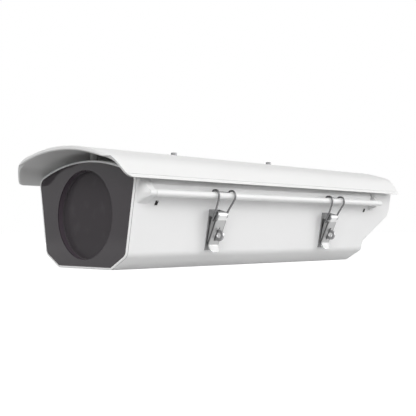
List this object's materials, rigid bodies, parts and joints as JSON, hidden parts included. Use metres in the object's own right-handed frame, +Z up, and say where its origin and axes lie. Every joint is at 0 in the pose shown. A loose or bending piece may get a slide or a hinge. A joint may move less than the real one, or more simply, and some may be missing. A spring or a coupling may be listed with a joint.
{
  "type": "security camera housing",
  "caption": "Long white weatherproof camera housing with a round front window, curved sun hood, side-opening lid, wire draw latches, floor plate and rear cable glands.",
  "frame": {"origin": "centre of the four bracket holes in the flat underside", "axes": "+Z up, -Y towards the window end, +X towards the latch side"},
  "size_m": [0.1811, 0.473, 0.1219],
  "materials": {
    "hood_paint": "smooth satin white powder coat",
    "shell_paint": "smooth satin off-white powder coat",
    "panel_paint": "semi-gloss charcoal",
    "window_glass": "clear flat glass",
    "seal_rubber": "matt black",
    "retainer_steel": "satin",
    "screw_steel": "satin stainless",
    "gland_plastic": "matt black nylon",
    "pad_plastic": "matt grey",
    "plate_aluminium": "brushed",
    "board_laminate": "green lacquered laminate",
    "terminal_plastic": "moulded green",
    "hinge_steel": "satin stainless",
    "latch_steel": "satin pressed stainless sheet",
    "wire_steel": "drawn stainless wire"
  },
  "bodies": {
    "housing": {"lower_shell": "shell_paint", "front_cap": "shell_paint", "rear_cap": "shell_paint", "front_panel": "panel_paint", "window_glass": "window_glass", "window_seal": "seal_rubber", "end_seals": "seal_rubber", "lid_seal": "seal_rubber", "glass_retainer": "retainer_steel", "retainer_screws": "screw_steel", "side_screws": "screw_steel", "plate_screws": "screw_steel", "board_screws": "screw_steel", "camera_screw": "screw_steel", "gland_bodies": "gland_plastic", "gland_nuts": "gland_plastic", "gland_locknuts": "gland_plastic", "rest_pads": "pad_plastic", "camera_plate": "plate_aluminium", "terminal_board": "board_laminate", "terminal_block": "terminal_plastic", "hinge_lower_leaves": "hinge_steel", "hinge_pins": "hinge_steel", "hinge_shell_rivets": "hinge_steel", "latch_bases": "latch_steel", "latch_pins": "latch_steel", "latch_rivets": "latch_steel"},
    "lid": {"lid_shell": "shell_paint", "hood": "hood_paint", "hood_screws": "screw_steel", "hood_washers": "seal_rubber", "standoffs": "plate_aluminium", "hinge_upper_leaves": "hinge_steel", "hinge_lid_rivets": "hinge_steel"},
    "front_lever": {"front_lever": "latch_steel"},
    "rear_lever": {"rear_lever": "latch_steel"},
    "front_bail": {"front_bail": "wire_steel"},
    "rear_bail": {"rear_bail": "wire_steel"}
  },
  "joints": [
    {"name": "lid_hinge", "type": "hinge", "parent": "housing", "child": "lid", "pos_m": [-0.07961, 0, 0.0692], "axis": [0, -1, 0], "range_deg": [0, 95]},
    {"name": "front_lever_pivot", "type": "hinge", "parent": "housing", "child": "front_lever", "pos_m": [0.08163, -0.082, 0.0527], "axis": [0, -1, 0], "range_deg": [0, 105]},
    {"name": "front_bail_pivot", "type": "hinge", "parent": "front_lever", "child": "front_bail", "pos_m": [0.07799, -0.082, 0.04731], "axis": [0, -1, 0], "range_deg": [-81.9, 0]},
    {"name": "rear_lever_pivot", "type": "hinge", "parent": "housing", "child": "rear_lever", "pos_m": [0.08163, 0.11, 0.0527], "axis": [0, -1, 0], "range_deg": [0, 105]},
    {"name": "rear_bail_pivot", "type": "hinge", "parent": "rear_lever", "child": "rear_bail", "pos_m": [0.07799, 0.11, 0.04731], "axis": [0, -1, 0], "range_deg": [-81.9, 0]}
  ],
  "couplings": [
    {"joint": "front_bail_pivot", "follows": "front_lever_pivot", "ratio": -0.78},
    {"joint": "rear_bail_pivot", "follows": "rear_lever_pivot", "ratio": -0.78}
  ]
}
